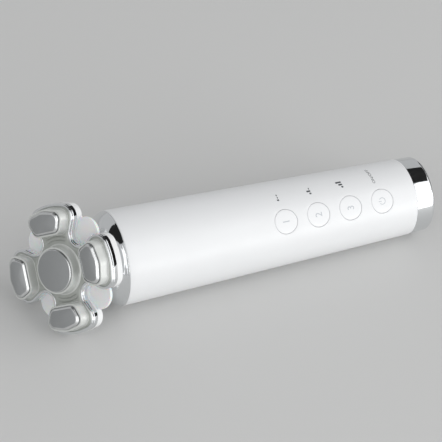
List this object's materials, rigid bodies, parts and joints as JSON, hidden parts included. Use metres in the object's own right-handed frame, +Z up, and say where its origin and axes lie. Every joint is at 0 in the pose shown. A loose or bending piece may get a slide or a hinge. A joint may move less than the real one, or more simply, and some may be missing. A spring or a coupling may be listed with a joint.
{
  "type": "facial toning device",
  "caption": "Handheld facial toning device: tapered white handle with round keys, chrome cap and collar, and a tilted head of petal electrodes.",
  "frame": {"origin": "on the table, under the middle of the device's box as it lies at rest", "axes": "+Z up from the table, -X from the handle towards the head, keys turned up and towards -Y"},
  "size_m": [0.1932, 0.0516, 0.0494],
  "materials": {
    "white_abs": "satin moulded ABS",
    "chrome_plating": "mirror chrome plating on ABS",
    "pearl_silver": "pearl silver lacquer",
    "pearl_white": "pearl white lacquer",
    "satin_silver": "satin nickel plating with a polished edge",
    "milky_clear": "milky polycarbonate",
    "dark_abs": "moulded",
    "silicone": "moulded",
    "circuit_board": "solder resist",
    "black_part": "moulded",
    "copper_winding": "enamelled wire",
    "steel": "drawn and plated",
    "nickel": "nickel plated",
    "cell_sleeve": "shrink sleeve",
    "lamp_clear": "clear epoxy"
  },
  "bodies": {
    "device": {"handle_shell": "white_abs", "end_cap": "chrome_plating", "cap_plug": "dark_abs", "cap_seal": "silicone", "charge_board": "circuit_board", "charge_socket": "steel", "chassis": "dark_abs", "main_board": "circuit_board", "board_screws": "steel", "tact_switches": "black_part", "board_parts": "black_part", "boost_transformer": "copper_winding", "battery": "cell_sleeve", "battery_tabs": "nickel", "motor_cradle": "dark_abs", "vibration_motor": "steel", "head_lead": "black_part", "collar": "chrome_plating", "collar_seal": "silicone", "neck": "white_abs", "head_back_shell": "white_abs", "light_guide": "milky_clear", "light_board": "circuit_board", "head_leds": "lamp_clear", "head_screws": "steel", "contact_pins": "nickel", "chrome_band": "chrome_plating", "face_plate": "pearl_silver", "centre_rim": "pearl_white", "centre_electrode": "satin_silver", "petal_rim_1": "pearl_white", "petal_rim_2": "pearl_white", "petal_rim_3": "pearl_white", "petal_rim_4": "pearl_white", "petal_electrode_1": "satin_silver", "petal_electrode_2": "satin_silver", "petal_electrode_3": "satin_silver", "petal_electrode_4": "satin_silver"},
    "key_1": {"key_1": "white_abs"},
    "key_2": {"key_2": "white_abs"},
    "key_3": {"key_3": "white_abs"},
    "power_key": {"power_key": "white_abs"},
    "rotor": {"motor_shaft": "steel", "eccentric_weight": "nickel"}
  },
  "joints": [
    {"name": "key_1_press", "type": "slide", "parent": "device", "child": "key_1", "axis": [-0.019, 0.674, -0.7384], "range_m": [0, 0.0004], "stiffness_N_per_m": 3000, "springref_m": -0.0002},
    {"name": "key_2_press", "type": "slide", "parent": "device", "child": "key_2", "axis": [-0.019, 0.674, -0.7384], "range_m": [0, 0.0004], "stiffness_N_per_m": 3000, "springref_m": -0.0002},
    {"name": "key_3_press", "type": "slide", "parent": "device", "child": "key_3", "axis": [-0.019, 0.674, -0.7384], "range_m": [0, 0.0004], "stiffness_N_per_m": 3000, "springref_m": -0.0002},
    {"name": "power_key_press", "type": "slide", "parent": "device", "child": "power_key", "axis": [-0.019, 0.674, -0.7384], "range_m": [0, 0.0004], "stiffness_N_per_m": 3000, "springref_m": -0.0002},
    {"name": "motor_spin", "type": "hinge", "parent": "device", "child": "rotor", "pos_m": [-0.04973, 0.00291, 0.0209], "axis": [-0.9997, 0, 0.0257], "continuous": true}
  ]
}
